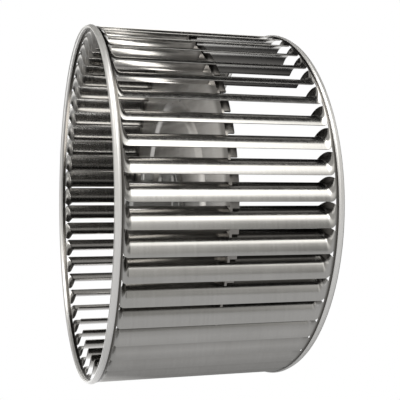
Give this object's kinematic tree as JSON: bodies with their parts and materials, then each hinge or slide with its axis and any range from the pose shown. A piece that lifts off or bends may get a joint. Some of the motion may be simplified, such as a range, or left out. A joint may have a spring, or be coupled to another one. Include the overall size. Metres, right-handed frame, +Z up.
{
  "type": "blower wheel",
  "caption": "Double inlet centrifugal blower wheel with a louvred blade strip, rolled end rings, a centre disc and a bored hub.",
  "frame": {"origin": "centre of the wheel, on its spin axis midway between the end rings", "axes": "+Y along the spin axis, the hub's long end and set screw towards -Y, +Z up"},
  "size_m": [0.254, 0.14, 0.254],
  "materials": {
    "strip_steel": "bright sheet",
    "ring_steel": "bright sheet",
    "disc_steel": "bright sheet",
    "hub_steel": "bright sheet",
    "fastener_steel": "bright sheet"
  },
  "bodies": {
    "root": {"blade_strip": "strip_steel", "left_end_ring": "ring_steel", "right_end_ring": "ring_steel", "centre_disc": "disc_steel", "hub": "hub_steel", "hub_plate": "disc_steel", "hub_rivets": "fastener_steel", "set_screw": "fastener_steel"}
  },
  "joints": []
}
